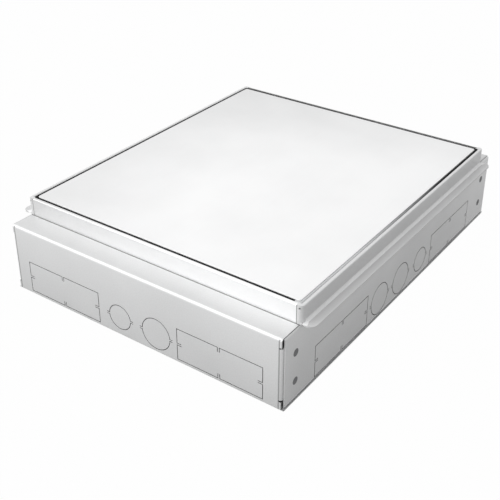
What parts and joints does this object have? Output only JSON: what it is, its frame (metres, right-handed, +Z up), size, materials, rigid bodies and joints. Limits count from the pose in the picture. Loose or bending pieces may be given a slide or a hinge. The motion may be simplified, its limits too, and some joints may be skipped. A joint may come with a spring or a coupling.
{
  "type": "floor socket box",
  "caption": "Flush floor box of folded galvanised sheet with knock-outs for ducts and conduits, a height-adjustable collar, a lift-out lid and power and data outlets inside.",
  "frame": {"origin": "on the floor, at the middle of the base", "axes": "+X to the right along the short side, +Y from front to rear along the long side, +Z up"},
  "size_m": [0.2786, 0.34, 0.075],
  "materials": {
    "box_sheet": "galvanised sheet, satin",
    "collar_sheet": "galvanised sheet, satin",
    "lid_sheet": "galvanised plate, bright satin",
    "rivet_steel": "flush rivets, dull grey",
    "seal_rubber": "matt black",
    "zinc_fastener": "bright zinc plate",
    "pad_nylon": "black nylon",
    "white_moulding": "white, semi-gloss",
    "grey_moulding": "grey, matt",
    "brass_contact": "bright brass",
    "spring_steel": "nickel-plated spring strip",
    "shutter_moulding": "white, matt",
    "dark_moulding": "black, matt"
  },
  "bodies": {
    "box": {"box_body": "box_sheet", "right_side_plate": "box_sheet", "left_side_plate": "box_sheet", "power_carrier": "box_sheet", "data_carrier": "box_sheet", "power_wiring_cover": "box_sheet", "data_wiring_cover": "box_sheet", "centre_partition": "box_sheet", "side_plate_rivets": "rivet_steel", "foot_screws": "zinc_fastener", "cover_screws": "zinc_fastener", "earth_washer": "zinc_fastener", "earth_nut": "zinc_fastener", "earth_stud": "zinc_fastener", "levelling_pads": "pad_nylon", "power_socket_1_face": "white_moulding", "data_outlet_1_plate": "white_moulding", "power_socket_1_block": "grey_moulding", "power_socket_1_contacts": "brass_contact", "power_socket_1_earth_strap": "spring_steel", "data_outlet_1_jacks": "dark_moulding", "power_socket_2_face": "white_moulding", "data_outlet_2_plate": "white_moulding", "power_socket_2_block": "grey_moulding", "power_socket_2_contacts": "brass_contact", "power_socket_2_earth_strap": "spring_steel", "data_outlet_2_jacks": "dark_moulding", "power_socket_3_face": "white_moulding", "data_outlet_3_plate": "white_moulding", "power_socket_3_block": "grey_moulding", "power_socket_3_contacts": "brass_contact", "power_socket_3_earth_strap": "spring_steel", "data_outlet_3_jacks": "dark_moulding"},
    "collar": {"collar_front_bar": "collar_sheet", "collar_rear_bar": "collar_sheet", "collar_left_bar": "collar_sheet", "collar_right_bar": "collar_sheet", "lid_seal": "seal_rubber", "levelling_bracket_front_left": "collar_sheet", "levelling_bracket_front_right": "collar_sheet", "levelling_bracket_rear_left": "collar_sheet", "levelling_bracket_rear_right": "collar_sheet", "levelling_nuts": "zinc_fastener"},
    "lid": {"lid_plate": "lid_sheet", "lid_stiffener_front": "lid_sheet", "lid_stiffener_middle": "lid_sheet", "lid_stiffener_rear": "lid_sheet"},
    "screw_front_left": {"levelling_screw_front_left": "zinc_fastener"},
    "screw_front_right": {"levelling_screw_front_right": "zinc_fastener"},
    "screw_rear_left": {"levelling_screw_rear_left": "zinc_fastener"},
    "screw_rear_right": {"levelling_screw_rear_right": "zinc_fastener"},
    "shutter_1": {"power_socket_1_shutter": "shutter_moulding"},
    "shutter_2": {"power_socket_2_shutter": "shutter_moulding"},
    "shutter_3": {"power_socket_3_shutter": "shutter_moulding"}
  },
  "joints": [
    {"name": "collar_lift", "type": "slide", "parent": "box", "child": "collar", "axis": [0, 0, 1], "range_m": [0, 0.015]},
    {"name": "lid_lift", "type": "slide", "parent": "collar", "child": "lid", "axis": [0, 0, 1], "range_m": [0, 0.12]},
    {"name": "turn_front_left", "type": "hinge", "parent": "box", "child": "screw_front_left", "pos_m": [-0.106, -0.125, 0.03], "axis": [0, 0, 1], "range_deg": [-5401, 0]},
    {"name": "turn_front_right", "type": "hinge", "parent": "box", "child": "screw_front_right", "pos_m": [0.106, -0.125, 0.03], "axis": [0, 0, 1], "range_deg": [-5401, 0]},
    {"name": "turn_rear_left", "type": "hinge", "parent": "box", "child": "screw_rear_left", "pos_m": [-0.106, 0.125, 0.03], "axis": [0, 0, 1], "range_deg": [-5401, 0]},
    {"name": "turn_rear_right", "type": "hinge", "parent": "box", "child": "screw_rear_right", "pos_m": [0.106, 0.125, 0.03], "axis": [0, 0, 1], "range_deg": [-5401, 0]},
    {"name": "shutter_slide_1", "type": "slide", "parent": "box", "child": "shutter_1", "axis": [0, 1, 0], "range_m": [0, 0.0065], "stiffness_N_per_m": 60, "springref_m": -0.002},
    {"name": "shutter_slide_2", "type": "slide", "parent": "box", "child": "shutter_2", "axis": [0, 1, 0], "range_m": [0, 0.0065], "stiffness_N_per_m": 60, "springref_m": -0.002},
    {"name": "shutter_slide_3", "type": "slide", "parent": "box", "child": "shutter_3", "axis": [0, 1, 0], "range_m": [0, 0.0065], "stiffness_N_per_m": 60, "springref_m": -0.002}
  ],
  "couplings": [
    {"joint": "turn_front_left", "follows": "collar_lift", "rad_per_m": -6283.2},
    {"joint": "turn_front_right", "follows": "collar_lift", "rad_per_m": -6283.2},
    {"joint": "turn_rear_left", "follows": "collar_lift", "rad_per_m": -6283.2},
    {"joint": "turn_rear_right", "follows": "collar_lift", "rad_per_m": -6283.2}
  ]
}
